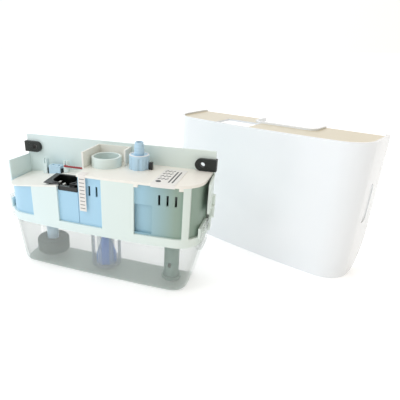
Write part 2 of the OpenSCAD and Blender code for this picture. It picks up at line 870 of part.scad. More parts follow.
// Float switch: guide stem, stop, float with its magnet and the reed switches in the stem
stem_low = 4.8;
stop_h = 2;
stop_out = 1.6;
shoulder_out = 1.4;
stem_head_h = 6;
stem_wall = 1.6;
stem_bore_r = stem_r - stem_wall;
magnet_r = 9.6;
magnet_h = 4;
reed_r = 1.4;
reed_len = 12;
float_z = stem_low + stop_h + seat_gap;
shoulder_z = float_z + float_h + float_lift + over;
magnet_z = float_z + float_h / 2 - magnet_h / 2;

module float_stem() {
    head = base_z + housing_t + stem_head_h;
    color("#bcd6ee") difference() {
        union() {
            rod(float_x, float_y, stem_r - seat_gap / 2, stem_low + stop_h / 2, head);
            rod(float_x, float_y, stem_r + shoulder_out, shoulder_z, floor_z);
            rod(float_x, float_y, stem_r + shoulder_out, base_z + housing_t, head);
        }
        rod(float_x, float_y, stem_bore_r, stem_low + stop_h, head + over);
    }
}

module float_stop() {
    color("#bcd6ee") difference() {
        rod(float_x, float_y, stem_r + stop_out, stem_low, stem_low + stop_h);
        rod(float_x, float_y, stem_r - seat_gap / 2, stem_low + stop_h / 2, stem_low + stop_h + over);
    }
}

module float() {
    bore = stem_r + stem_gap;
    edge = 1.6;
    color("#4d5a58") difference() {
        translate([float_x, float_y, float_z]) rotate_extrude($fn = 96) polygon([
            [bore, 0], [float_r - edge, 0], [float_r, edge], [float_r, float_h - edge],
            [float_r - edge, float_h], [bore, float_h]]);
        ring(float_x, float_y, magnet_r, bore + over / 2, magnet_z, magnet_z + magnet_h);
    }
}

module float_magnet() {
    color("#2b2b2e")
        ring(float_x, float_y, magnet_r, stem_r + stem_gap + over / 2, magnet_z, magnet_z + magnet_h);
}

module reed_switches() {
    foot = stem_low + stop_h;
    color("silver") {
        rod(float_x - stem_bore_r / 2, float_y, reed_r, foot, foot + reed_len);
        rod(float_x + stem_bore_r / 2, float_y, reed_r, foot + reed_len, foot + 2 * reed_len);
    }
}

// Control electronics behind the vents
board_t = 1.6;
board_in = 7;
board_y = front_y + housing_inset + housing_t + board_in;
board_margin = 2.4;
relay_w = 12;
relay_d = 3.6;
relay_h = 15;
cap_r = 2;
cap_h = 10;

module control_board() {
    color("#2f6b45") block([high_x + housing_t + seat_gap, board_y, base_z + housing_t],
        [control_right - housing_t - seat_gap, board_y + board_t, deck_low - board_margin]);
}

module relay() {
    color("#22262a") block([high_x + housing_t + board_margin, board_y + board_t, base_z + relay_w],
        [high_x + housing_t + board_margin + relay_w, board_y + board_t + relay_d, base_z + relay_w + relay_h]);
}

module capacitor() {
    color("#30405c")
        rod(control_right - relay_w / 2, board_y - cap_r, cap_r, base_z + relay_w, base_z + relay_w + cap_h);
}

// Motor: stator, coil, bracket, bearings, rotor, shaft and impeller
motor_rise = 17.5;
motor_z = base_z + motor_rise;
air_gap = 0.6;
stator_bore_r = rotor_r + air_gap;
coil_t = 4;
coil_in = 2;
bearing_r = 5;
bearing_h = 3;
bracket_t = 2;
pillar_r = 2.4;
pillar_share = 0.82;
pillar_angles = [60, 180, 300];
shaft_top = motor_z + stator_h + coil_t + bearing_h;
impeller_z = 7;
impeller_h = 8;
hub_r = 2.6;
blade_t = 0.9;
leg_head_h = 5;
leg_foot_z = 2.6;
leg_foot_h = 3;
leg_foot_r = 9.4;
suction_r = 3.2;
port_w = 3;
port_h = 5;
guide_z = 24;

module motor_stator() {
    color("#8b9094") ring(pump_x, pump_y, stator_r, stator_bore_r, motor_z, motor_z + stator_h);
}

module motor_coil() {
    color("#b5651d") for (z = [motor_z - coil_t, motor_z + stator_h])
        ring(pump_x, pump_y, stator_r - coil_in, stator_bore_r + coil_in, z, z + coil_t);
}

// Two plates that carry the bearings, and the pillars that hold them to the housing's floor
module motor_bracket() {
    color("#c9ccce") difference() {
        union() {
            for (z = [motor_z - coil_t - bracket_t, motor_z + stator_h + coil_t])
                rod(pump_x, pump_y, stator_r, z, z + bracket_t);
            for (a = pillar_angles) translate([pump_x, pump_y, 0]) rotate([0, 0, a])
                rod(stator_r * pillar_share, 0, pillar_r, base_z + housing_t, motor_z - coil_t - bracket_t);
        }
        rod(pump_x, pump_y, bearing_r, motor_z - coil_t - bracket_t - over,
            motor_z + stator_h + coil_t + bracket_t + over);
    }
}

module bearing(z) {
    color("#b08d57") ring(pump_x, pump_y, bearing_r, shaft_r + shaft_gap, z, z + bearing_h);
}

module bearing_upper() { bearing(motor_z + stator_h + coil_t); }

module bearing_lower() {
    bearing(motor_z - coil_t - bearing_h);
    color("#b08d57") ring(pump_x, pump_y, leg_bore_r, shaft_r + shaft_gap, guide_z, guide_z + bearing_h);
}

module rotor() {
    color("#3c3f44") ring(pump_x, pump_y, rotor_r, shaft_r, motor_z, motor_z + stator_h);
}

module shaft() {
    color("silver") rod(pump_x, pump_y, shaft_r, impeller_z, shaft_top);
}

module impeller() {
    color("white") {
        ring(pump_x, pump_y, hub_r, shaft_r, impeller_z, impeller_z + impeller_h);
        difference() {
            for (i = [0:impeller_blades - 1]) translate([pump_x, pump_y, 0])
                rotate([0, 0, 360 * i / impeller_blades])
                    block([shaft_r + over / 2, -blade_t / 2, impeller_z],
                          [impeller_r, blade_t / 2, impeller_z + impeller_h * nib_share]);
            rod(pump_x, pump_y, shaft_r, impeller_z - over, impeller_z + impeller_h + over);
        }
    }
}

// Pump leg: the tube that reaches to the tank's floor, with its head and outlet
module pump_leg() {
    color("#8fa9a0") difference() {
        union() {
            rod(pump_x, pump_y, leg_r - seat_gap / 2, leg_foot_z + leg_foot_h, base_z + housing_t);
            rod(pump_x, pump_y, leg_r + rim_t, base_z + housing_t, base_z + housing_t + leg_head_h);
            block([pump_x - leg_r - over, pump_y, base_z + housing_t],
                  [pump_x, valve_y + seat_r + valve_wall, riser_z + seat_r + valve_wall]);
        }
        rod(pump_x, pump_y, leg_bore_r, leg_foot_z, base_z + housing_t + over);
        rod(pump_x, pump_y, bearing_r * nib_share, base_z, motor_z);
        translate([pump_x - leg_r - 2 * over, valve_y, riser_z]) rotate([0, 90, 0])
            cylinder(h = leg_r, r = seat_r, $fn = 32);
        for (a = [0, 90]) translate([pump_x, pump_y, leg_foot_z + leg_foot_h + impeller_h + port_h])
            rotate([0, 0, a]) cube([2 * leg_r + over, port_w, port_h], center = true);
    }
}

module leg_foot() {
    color("#8fa9a0") difference() {
        rod(pump_x, pump_y, leg_foot_r, leg_foot_z, leg_foot_z + leg_foot_h);
        rod(pump_x, pump_y, suction_r, leg_foot_z - over, leg_foot_z + leg_foot_h + over);
        for (a = [0, 60, 120]) translate([pump_x, pump_y, leg_foot_z]) rotate([0, 0, a])
            cube([2 * leg_foot_r + over, port_w, leg_foot_h * nib_share], center = true);
    }
}

module bracket_screws() {
    color("silver") for (a = pillar_angles) translate([pump_x, pump_y, 0]) rotate([0, 0, a])
        rod(stator_r * pillar_share, 0, pillar_r, motor_z + stator_h + coil_t + bracket_t,
            motor_z + stator_h + coil_t + bracket_t + bracket_t * nib_share);
}

// Tank: a tapered tray whose back curves in towards the floor, with a tongue inside the rim
tank_r = 15;
tank_floor_w = rim_w - 2 * tank_taper;
edge_r = 4;
edge_shares = [0.5, 0.21, 0.05, 0];
edge_steps = [0, 0.25, 0.6, 1];
edge_cut = 4;
mid_z = 24;
tank_top = rim_z - slide_gap;
tongue_h = 5;
tongue_t = 1.6;
tongue_inset = rim_t + seat_gap;
tank_inset = 1;
taper_share = 0.5;
back_share = 0.25;
floor_bow_share = 0.4;
slice_t = 0.3;

// Slice of the tank at a share of the way from the floor to the rim, drawn in by a distance
module tank_slice(z, share, inset, back) {
    w = tank_floor_w + (rim_w - 2 * tank_inset - tank_floor_w) * share;
    front = -tank_floor_d / 2 + (front_y + tank_inset + tank_floor_d / 2) * share;
    rear = tank_floor_d / 2 + (plate_y - tank_inset - tank_floor_d / 2) * back;
    r = tank_r + (rim_r - tank_r) * share;
    bow = front_bow * max(share, floor_bow_share);
    translate([0, 0, z]) linear_extrude(slice_t)
        polygon(d_plan(w - 2 * inset, rear - inset, front + inset, max(r - inset, back_r + over), bow));
}

// The lower edge is rounded in steps that follow a quarter circle
module tank_form(inset, low, top) {
    hull() {
        for (i = [0:len(edge_steps) - 1])
            tank_slice(low + edge_r * edge_steps[i], taper_share * edge_steps[i] / edge_cut,
                       inset + edge_r * edge_shares[i], back_share * edge_steps[i]);
        tank_slice(mid_z, taper_share, inset, 1 - back_share);
        tank_slice(top - slice_t, 1, inset, 1);
    }
}

// Snap loop: two arms and a bar that stands clear of the frame's nub
module snap_loop() {
    x = rim_w / 2 + slide_gap;
    arm = loop_w / 7;
    y0 = loop_y - loop_w / 2;
    top = rim_z + loop_h;
    block([rim_w / 2 - tank_inset - tank_t, y0, tank_top - edge_r], [x + loop_t, y0 + loop_w, tank_top]);
    for (y = [y0, y0 + loop_w - arm]) block([x, y, tank_top - over], [x + loop_t, y + arm, top]);
    block([x, y0, top - arm], [x + loop_t + catch_t, y0 + loop_w, top]);
    block([x + catch_t, y0, top - arm], [x + loop_t + catch_t, y0 + loop_w, top + arm / 2]);
}

module tank() {
    color("#dfe6e4", 0.35) difference() {
        union() {
            tank_form(0, 0, tank_top);
            rim_tube(tongue_inset, tongue_t, tank_top - edge_r, tank_top + tongue_h);
            mirrored() snap_loop();
        }
        tank_form(tank_t, tank_t, tank_top - edge_r);
        rim_solid(tongue_inset + tongue_t, tank_top - edge_r - over, tank_top + tongue_h + over);
        mirrored() block([rim_w / 2, loop_y - catch_w, base_z - over],
                         [rim_w / 2 + slide_gap + catch_t, loop_y + catch_w, rim_z + loop_h + over]);
    }
}

// Cover: a glossy shell, open at the back and below, stood beside the pump
cover_inner_w = rim_w + 2 * cover_side;
cover_w = cover_inner_w + 2 * cover_t;
cover_front = front_y - cover_gap - cover_t - (cover_bow - front_bow);
panel_drop = 1.8;
panel_rim = 2.4;
notch_w = 66;
notch_in = 25;
notch_x = high_x + notch_in;
notch_d = 25;
notch_r = 8;
port_gap = 2.4;
cut_foot_share = 0.55;
cut_n = 12;
grip_w = 14;
grip_h = 40;
grip_z = 74;
grip_y = 6;
grip_depth = 0.9;

module cover_plan(inset) {
    polygon(d_plan(cover_w - 2 * inset, wall_y, cover_front + inset, cover_r - inset, cover_bow));
}

// Everything behind the curve that runs from the foot of the front to the back edge
module cover_cut() {
    depth = wall_y - cover_front;
    foot = wall_y - depth * (1 - cut_foot_share);
    rotate([90, 0, 90]) linear_extrude(2 * cover_w, center = true) polygon(concat(
        [[wall_y + over, -over], [foot, -over]],
        [for (i = [0:cut_n]) let (a = 90 * i / cut_n)
            [foot + (wall_y - foot) * sin(a), cover_cut_h * (1 - cos(a))]],
        [[wall_y + over, cover_cut_h]]));
}

// Notch for the hoses, open to the back, with rounded front corners
module notch_plan(grow) {
    w = notch_w + 2 * grow;
    r = notch_r + grow;
    front = wall_y - notch_d - grow;
    translate([notch_x, 0]) polygon(concat(
        [[w / 2, wall_y + over], [-w / 2, wall_y + over]],
        arc(-w / 2 + r, front + r, r, 180, front_a, corner_n),
        arc(w / 2 - r, front + r, r, front_a, 360, corner_n)));
}

module cover_shell() {
    difference() {
        linear_extrude(cover_h) cover_plan(0);
        translate([0, 0, -over]) linear_extrude(cover_h - cover_t - panel_drop + over)
            intersection() {
                cover_plan(cover_t);
                translate([-cover_w, cover_front]) square([2 * cover_w, 2 * rim_depth]);
            }
        translate([0, wall_y, -over]) block([-cover_inner_w / 2, -back_r - over, 0],
            [cover_inner_w / 2, over, cover_h - cover_t - panel_drop + over]);
        // Recessed top panel inside a raised rim
        translate([0, 0, cover_h - panel_drop]) linear_extrude(panel_drop + over) difference() {
            cover_plan(panel_rim);
            notch_plan(panel_rim);
        }
        translate([0, 0, cover_h - cover_t - panel_drop - over]) linear_extrude(cover_t + panel_drop + 2 * over)
            notch_plan(0);
        block([mains_x - mains_w / 2 - port_gap, mains_y - mains_d / 2 - port_gap,
               cover_h - cover_t - panel_drop - over],
              [mains_x + mains_w / 2 + port_gap, mains_y + mains_d / 2 + port_gap, cover_h + over]);
        cover_cut();
        for (s = [-1, 1]) translate([s * (cover_w / 2 - grip_depth), grip_y, grip_z]) rotate([0, s * 90, 0])
            stadium(grip_h, grip_w, grip_depth + over);
    }
}

module cover() {
    color("#f7f8f8") translate([park_x, park_y, 0]) rotate([0, 0, park_turn]) cover_shell();
}

cradle();
base_pan();
wall_plate();
deck();
low_deck();
inlet_collar();
strainer();
spreader_cone();
valve_body();
valve_nut();
valve_seal();
valve_ball();
hose_spigot();
riser_tube();
wall_ear_left();
wall_ear_right();
float_housing();
inlet_housing();
control_housing();
motor_housing();
end_housing();
mains_inlet();
mains_pins();
terminal_posts();
terminal_block();
terminal_blades();
red_wire();
strip_label();
rating_label();
float_stem();
float_stop();
float();
float_magnet();
reed_switches();
control_board();
relay();
capacitor();
motor_stator();
motor_coil();
motor_bracket();
bearing_upper();
bearing_lower();
rotor();
shaft();
impeller();
pump_leg();
leg_foot();
bracket_screws();
tank();
cover();
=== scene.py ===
import json
import math

import bmesh
import bpy
from mathutils import Matrix, Vector


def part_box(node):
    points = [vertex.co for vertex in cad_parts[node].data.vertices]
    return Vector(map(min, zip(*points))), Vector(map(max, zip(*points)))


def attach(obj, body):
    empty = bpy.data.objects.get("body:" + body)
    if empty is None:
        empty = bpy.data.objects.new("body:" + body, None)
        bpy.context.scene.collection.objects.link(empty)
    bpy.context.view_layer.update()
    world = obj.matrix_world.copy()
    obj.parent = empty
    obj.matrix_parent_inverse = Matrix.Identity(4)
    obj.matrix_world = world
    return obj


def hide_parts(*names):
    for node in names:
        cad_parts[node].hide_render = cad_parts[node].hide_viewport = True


mm = 0.001
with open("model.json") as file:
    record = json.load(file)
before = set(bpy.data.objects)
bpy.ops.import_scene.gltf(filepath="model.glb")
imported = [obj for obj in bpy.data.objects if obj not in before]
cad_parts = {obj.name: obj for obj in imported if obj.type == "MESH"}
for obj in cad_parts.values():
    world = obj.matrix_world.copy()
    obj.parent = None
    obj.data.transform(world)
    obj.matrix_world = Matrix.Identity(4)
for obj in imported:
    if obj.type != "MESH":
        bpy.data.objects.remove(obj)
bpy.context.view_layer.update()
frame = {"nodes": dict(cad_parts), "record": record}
print("frame loaded:", len(frame["nodes"]), "nodes")


def hexColour(code):
    # sRGB hex to the linear values that the shader wants
    values = [int(code[i:i + 2], 16) / 255 for i in (1, 3, 5)]
    linear = [v / 12.92 if v <= 0.04045 else ((v + 0.055) / 1.055) ** 2.4 for v in values]
    return (*linear, 1.0)


def addNode(tree, kind, settings=None, links=None):
    node = tree.nodes.new(kind)
    for name, value in (settings or {}).items():
        if name in node.inputs:
            node.inputs[name].default_value = value
        else:
            setattr(node, name, value)
    for name, source in (links or {}).items():
        tree.links.new(source, node.inputs[name])
    return node


def newMaterial(name):
    material = bpy.data.materials.new(name)
    material.use_nodes = True
    tree = material.node_tree
    tree.nodes.clear()
    output = addNode(tree, "ShaderNodeOutputMaterial")
    shader = addNode(tree, "ShaderNodeBsdfPrincipled")
    tree.links.new(shader.outputs["BSDF"], output.inputs["Surface"])
    coords = addNode(tree, "ShaderNodeTexCoord")
    return material, tree, shader, coords.outputs["Object"]


def perMetre(sizeMm):
    # noise scale that gives features of about this size
    return 1000 / sizeMm


colourSockets = {"first": 6, "second": 7, "result": 2}  # a Mix node's sockets when it mixes colours


def mixed(tree, factor, first, second):
    # blend of two colours, each a hex code or another node's output
    tone = addNode(tree, "ShaderNodeMix", {"data_type": "RGBA"}, {"Factor": factor})
    for place, colour in (("first", first), ("second", second)):
        socket = tone.inputs[colourSockets[place]]
        if isinstance(colour, str):
            socket.default_value = hexColour(colour)
        else:
            tree.links.new(colour, socket)
    return tone.outputs[colourSockets["result"]]


def unevenGloss(tree, shader, pattern, smoothest, roughest):
    # roughness that follows a pattern between two values
    gloss = addNode(tree, "ShaderNodeMapRange", {"To Min": smoothest, "To Max": roughest},
                    {"Value": pattern})
    tree.links.new(gloss.outputs["Result"], shader.inputs["Roughness"])


def fineRelief(tree, shader, pattern, strength, depthMm):
    # bump too shallow to model
    relief = addNode(tree, "ShaderNodeBump", {"Strength": strength, "Distance": depthMm * mm},
                     {"Height": pattern})
    tree.links.new(relief.outputs["Normal"], shader.inputs["Normal"])


plastic = {"ior": 1.5, "coatRoughness": 0.08, "smoother": 0.05, "rougher": 0.07, "grainDepth": 0.1,
           "cloudDetail": 3.0, "grainDetail": 2.0}


def moulded(name, colour, shade, roughness, grainMm=0.5, bump=0.05, blotchMm=30, coat=0.0,
            sheen=0.0, paintedShadeDrift=None):
    # injection moulded plastic: a faint cloudy tone, a fine spark-eroded grain and uneven gloss
    material, tree, shader, place = newMaterial(name)
    cloud = addNode(tree, "ShaderNodeTexNoise",
                    {"Scale": perMetre(blotchMm), "Detail": plastic["cloudDetail"]},
                    {"Vector": place})
    tone = mixed(tree, cloud.outputs["Fac"], colour, shade)
    if paintedShadeDrift:
        # painted light and shade: the tone changes slowly from one place along X to another,
        # matched to the photograph
        code, start, end = paintedShadeDrift
        parts = addNode(tree, "ShaderNodeSeparateXYZ", None, {"Vector": place})
        along = addNode(tree, "ShaderNodeMapRange", {"From Min": start * mm, "From Max": end * mm},
                        {"Value": parts.outputs["X"]})
        tone = mixed(tree, along.outputs["Result"], tone, code)
    tree.links.new(tone, shader.inputs["Base Color"])
    grain = addNode(tree, "ShaderNodeTexNoise",
                    {"Scale": perMetre(grainMm), "Detail": plastic["grainDetail"]},
                    {"Vector": place})
    unevenGloss(tree, shader, grain.outputs["Fac"], roughness - plastic["smoother"],
                roughness + plastic["rougher"])
    fineRelief(tree, shader, grain.outputs["Fac"], bump, plastic["grainDepth"])
    shader.inputs["IOR"].default_value = plastic["ior"]
    shader.inputs["Coat Weight"].default_value = coat
    shader.inputs["Coat Roughness"].default_value = plastic["coatRoughness"]
    shader.inputs["Sheen Weight"].default_value = sheen
    return material


clearPlastic = {"ior": 1.49, "specular": 0.8, "rimBlend": 0.35, "hazeMm": 18, "hazeDetail": 2.0,
                "smoothest": 0.6, "roughest": 1.6}  # the last two are shares of the roughness


def clearMoulding(name, colour, edgeColour, roughness, facing, grazing):
    # clear plastic: thin walls that barely show face on and turn milky where seen edge on
    material, tree, shader, place = newMaterial(name)
    rim = addNode(tree, "ShaderNodeLayerWeight", {"Blend": clearPlastic["rimBlend"]})
    haze = addNode(tree, "ShaderNodeTexNoise", {"Scale": perMetre(clearPlastic["hazeMm"]),
                                                "Detail": clearPlastic["hazeDetail"]},
                   {"Vector": place})
    unevenGloss(tree, shader, haze.outputs["Fac"], roughness * clearPlastic["smoothest"],
                roughness * clearPlastic["roughest"])
    opacity = addNode(tree, "ShaderNodeMapRange", {"To Min": facing, "To Max": grazing},
                      {"Value": rim.outputs["Facing"]})
    tree.links.new(opacity.outputs["Result"], shader.inputs["Alpha"])
    tone = mixed(tree, rim.outputs["Facing"], colour, edgeColour)
    tree.links.new(tone, shader.inputs["Base Color"])
    shader.inputs["IOR"].default_value = clearPlastic["ior"]
    shader.inputs["Specular IOR Level"].default_value = clearPlastic["specular"]
    return material


metalwork = {"smoother": 0.06, "rougher": 0.1, "bump": 0.15, "lineDepth": 0.05, "lineDetail": 2.0}


def metal(name, colour, roughness, lineMm=0.3, stretch=(1, 1, 1)):
    # turned, drawn or pressed metal: fine lines along the tool's way
    material, tree, shader, place = newMaterial(name)
    turned = addNode(tree, "ShaderNodeMapping", {"Scale": stretch}, {"Vector": place})
    lines = addNode(tree, "ShaderNodeTexNoise",
                    {"Scale": perMetre(lineMm), "Detail": metalwork["lineDetail"]},
                    {"Vector": turned.outputs["Vector"]})
    unevenGloss(tree, shader, lines.outputs["Fac"], roughness - metalwork["smoother"],
                roughness + metalwork["rougher"])
    fineRelief(tree, shader, lines.outputs["Fac"], metalwork["bump"], metalwork["lineDepth"])
    shader.inputs["Base Color"].default_value = hexColour(colour)
    shader.inputs["Metallic"].default_value = 1.0
    return material


materials = {
    # moulded ABS: even and softly glossy, and sharper on the cover, whose mould was polished; the
    # drifts along X on the mint white, ivory and grey blue paint light and shade into their tone
    "white_plastic": moulded("mintWhiteAbs", "#E6F6F7", "#E0F1F1", 0.36, coat=0.15,
                             paintedShadeDrift=("#E0EBE4", -60, 90)),
    "ivory_plastic": moulded("ivoryAbs", "#F7F8F3", "#F2F3EC", 0.4, paintedShadeDrift=("#F5F1E8", -40, 80)),
    "cover_white": moulded("glossWhiteAbs", "#F4F7F9", "#F0F4F7", 0.18, bump=0.012, coat=0.5),
    "light_blue_plastic": moulded("skyBlueAbs", "#B2DBF2", "#A6D2EC", 0.36, coat=0.1),
    # painted shade: the grey blue turns grey green towards its right end
    "grey_blue_plastic": moulded("greyBlueAbs", "#A3CADB", "#99C2D4", 0.38,
                                 paintedShadeDrift=("#90A698", 50, 80)),
    "cone_blue_plastic": moulded("blueAbs", "#5F90E0", "#5485D6", 0.35),
    "green_grey_plastic": moulded("greyGreenAbs", "#7F9B90", "#76938A", 0.4),
    # moulded acetal: slippery, so a little glossier
    "pale_blue_plastic": moulded("paleBlueAcetal", "#C2E0F2", "#B6D8EE", 0.28, coat=0.25),
    # clear SAN: glassy and faintly grey
    "clear_grey": clearMoulding("clearSan", "#D9DCDA", "#B4C3BD", 0.06, 0.07, 0.6),
    "clear_strainer": clearMoulding("clearStrainer", "#B9CBD6", "#8FA6B5", 0.1, 0.16, 0.8),
    # moulded nylon and rubber: black, the one with a shine and the other dull and dusty
    "black_plastic": moulded("blackNylon", "#101413", "#0B0E0D", 0.3, bump=0.1, coat=0.25),
    "black_rubber": moulded("blackRubber", "#15201C", "#101815", 0.55, bump=0.25, sheen=0.2),
    # closed-cell foam: matt, with cells drawn coarse enough to show
    "float_foam": moulded("greyFoam", "#38524A", "#2B413A", 0.75, grainMm=1.2, bump=0.5,
                          blotchMm=6),
    # drawn, plated and sintered metals: from a bright streak to a soft one
    "steel": metal("brightSteel", "#C4C6C8", 0.25),
    "nickel": metal("nickelPlate", "#F2F0EA", 0.4),
    "dark_blade": metal("tinnedBlade", "#3C4245", 0.35),
    "sintered_bronze": metal("sinteredBronze", "#B08A52", 0.45),
    # stacked sheets and wound wire: fine level lines that run round the piece
    "lamination": metal("stackedSheet", "#8C9094", 0.42, 0.5, (1, 1, 30)),
    "copper_winding": metal("enamelledCopper", "#B4622C", 0.32, 0.5, (1, 1, 12)),
    # pressed magnet, coated board, extruded PVC and printed film: plain and smooth
    "magnet": moulded("sinteredMagnet", "#2C2C2F", "#242427", 0.5),
    "green_board": moulded("solderMask", "#2F6B45", "#285F3C", 0.3),
    "red_insulation": moulded("redPvc", "#A52A33", "#96202A", 0.35),
    "label_film": moulded("labelFilm", "#F1EEEA", "#EBE8E4", 0.35, bump=0.01),
}
extraMaterials = {
    # painted shade for the tank's floor
    "tankFloorShade": clearMoulding("paintedFloorShade", "#A6BAB0", "#98AEA4", 0.12, 0.42, 0.72),
    "panel": moulded("warmWhitePanel", "#DDD3B9", "#D6CBAF", 0.3, bump=0.02, coat=0.2),
    "ink": moulded("greyInk", "#5E6064", "#54565A", 0.5, bump=0.02, blotchMm=4),
    "rim": moulded("whiteAcetal", "#F3F5F7", "#ECEFF2", 0.25, coat=0.3),
}
print("materials made:", len(materials) + len(extraMaterials))

record = frame["record"]
slotOf = {entry["node"]: entry["material_slot"] for entry in record["subparts"]}
bodyOf = {node: body for body, nodes in record["behaviour"]["bodies"].items() for node in nodes}

softening = {"segments": 2, "angle": 32, "weld": 0.002}  # edges sharper than the angle are rounded


def meshFrom(bm, name):
    mesh = bpy.data.meshes.new(name)
    bm.to_mesh(mesh)
    bm.free()
    return mesh


def finishPiece(mesh, name, node, material=None, edge=0.0, replace=False):
    # links the piece, softens its edges, and gives it its body, slot and finish
    piece = bpy.data.objects.new(name, mesh)
    bpy.context.scene.collection.objects.link(piece)
    for polygon in mesh.polygons:
        polygon.use_smooth = True
    angle = math.radians(softening["angle"])
    mesh.set_sharp_from_angle(angle=angle)
    if edge:
        bevel = piece.modifiers.new("softEdges", "BEVEL")
        bevel.width = edge * mm
        bevel.segments = softening["segments"]
        bevel.limit_method = "ANGLE"
        bevel.angle_limit = angle
        bevel.harden_normals = True
    mesh.materials.append(material or materials[slotOf[node]])
    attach(piece, bodyOf[node])
    if replace:
        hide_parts(node)


def dressNode(node, edge):
    # the node's own shape with softened edges
    bm = bmesh.new()
    bm.from_mesh(frame["nodes"][node].data)
    bmesh.ops.remove_doubles(bm, verts=bm.verts, dist=softening["weld"] * mm)
    bmesh.ops.recalc_face_normals(bm, faces=bm.faces)
    mesh = meshFrom(bm, node + "Mesh")
    if "custom_normal" in mesh.attributes:  # the import's own shading no longer fits
        mesh.attributes.remove(mesh.attributes["custom_normal"])
    finishPiece(mesh, node + "_moulding", node, edge=edge, replace=True)


# how far each piece's edges are rounded, in millimetres: the rest show as they are
softEdges = {
    "cradle": 0.5, "deck": 0.5, "base_pan": 0.4, "wall_plate": 0.5, "low_deck": 0.4,
    "inlet_collar": 0.6, "strainer": 0.25, "spreader_cone": 0.3, "valve_body": 0.2,
    "valve_nut": 0.4, "hose_spigot": 0.2, "wall_ear_left": 0.6, "wall_ear_right": 0.6,
    "float_housing": 0.4, "inlet_housing": 0.4, "control_housing": 0.4, "motor_housing": 0.4,
    "end_housing": 0.4, "mains_inlet": 0.5, "mains_pins": 0.3, "terminal_posts": 0.3,
    "terminal_block": 0.3, "terminal_blades": 0.15, "float_stem": 0.3, "float_stop": 0.3,
    "float": 0.4, "relay": 0.3, "motor_stator": 0.3, "motor_coil": 0.5, "motor_bracket": 0.2,
    "impeller": 0.15, "pump_leg": 0.3, "leg_foot": 0.3, "bracket_screws": 0.2, "tank": 0.3,
    "cover": 0.6,
}
for node in frame["nodes"]:
    if node in softEdges:
        dressNode(node, softEdges[node])
    else:
        shown = frame["nodes"][node]
        shown.data.materials.clear()
        shown.data.materials.append(materials[slotOf[node]])
print("nodes dressed")

level = 0.9  # a face's normal has at least this much of Z where the face lies flat


def toneFaces(piece, finish, chosen):
    # gives a finish of its own to the faces that the test picks out
    mesh = bpy.data.objects[piece].data
    mesh.materials.append(extraMaterials[finish])
    for polygon in mesh.polygons:
        if chosen(polygon):
            polygon.material_index = 1


panel = {"drop": 1.8, "slack": 0.3}


def dressPanel():
    # the cover's recessed top has its own warmer tone
    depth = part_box("cover")[1].z - panel["drop"] * mm
    toneFaces("cover_moulding", "panel", lambda face: face.normal.z > level
              and abs(face.center.z - depth) < panel["slack"] * mm)


tankFloorShade = {"top": 3.5}


def paintTankFloorShade():
    # painted shade: the clear floor is given a darker, denser grey green than the walls
    toneFaces("tank_moulding", "tankFloorShade", lambda face: abs(face.normal.z) > level
              and face.center.z < tankFloorShade["top"] * mm)


nutRim = {"inset": 0.4, "width": 1.5, "height": 0.9, "sink": 0.25, "segments": 64, "weld": 0.005,
          "outerDrop": 0.2, "outerStep": 0.4, "innerRound": 0.3}


def addNutRim():
    # white ring let into the nut's top, with its upper corners taken off
    low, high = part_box("valve_nut")
    middle = (low + high) / 2
    outer = (high.x - low.x) / 2 - nutRim["inset"] * mm
    inner = outer - nutRim["width"] * mm
    foot = high.z - nutRim["sink"] * mm
    top = high.z + (nutRim["height"] - nutRim["sink"]) * mm
    innerRound = nutRim["innerRound"] * mm
    profile = [(outer, foot), (outer, top - nutRim["outerDrop"] * mm),
               (outer - nutRim["outerStep"] * mm, top), (inner + innerRound, top),
               (inner, top - innerRound), (inner, foot)]
    bm = bmesh.new()
    verts = [bm.verts.new((r, 0, z)) for r, z in profile]
    edges = [bm.edges.new((verts[i], verts[(i + 1) % len(verts)])) for i in range(len(verts))]
    bmesh.ops.spin(bm, geom=verts + edges, cent=(0, 0, 0), axis=(0, 0, 1), angle=math.tau,
                   steps=nutRim["segments"], use_merge=True)
    bmesh.ops.remove_doubles(bm, verts=bm.verts, dist=nutRim["weld"] * mm)
    bmesh.ops.recalc_face_normals(bm, faces=bm.faces)
    bmesh.ops.translate(bm, verts=bm.verts, vec=(middle.x, middle.y, 0))
    finishPiece(meshFrom(bm, "nutRimMesh"), "nut_rim", "valve_nut", extraMaterials["rim"])


nutTab = {"gap": 0.4, "width": 3.4, "depth": 4.6, "height": 7, "draft": 0.3, "edge": 0.35,
          "segments": 2}


def addNutTab():
    # small black block that stands beside the nut on the deck, drafted towards its top
    low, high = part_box("valve_nut")
    size = Vector((nutTab["width"], nutTab["depth"], nutTab["height"])) * mm
    middle = Vector((high.x + nutTab["gap"] * mm + size.x / 2, (low.y + high.y) / 2,
                     low.z + size.z / 2))
    bm = bmesh.new()
    verts = bmesh.ops.create_cube(bm, size=1)["verts"]
    bmesh.ops.scale(bm, verts=verts, vec=size)
    draft = nutTab["draft"] * mm
    for vert in verts:
        if vert.co.z > 0:
            vert.co.x -= math.copysign(draft, vert.co.x)
            vert.co.y -= math.copysign(draft, vert.co.y)
    bmesh.ops.translate(bm, verts=verts, vec=middle)
    bmesh.ops.bevel(bm, geom=bm.edges[:], offset=nutTab["edge"] * mm, offset_type="OFFSET",
                    segments=nutTab["segments"], profile=0.5, affect="EDGES", material=-1)
    finishPiece(meshFrom(bm, "nutTabMesh"), "nut_tab", "valve_nut", materials["black_plastic"])


capSteps = 6  # sides of the half circle at each end of a stroke


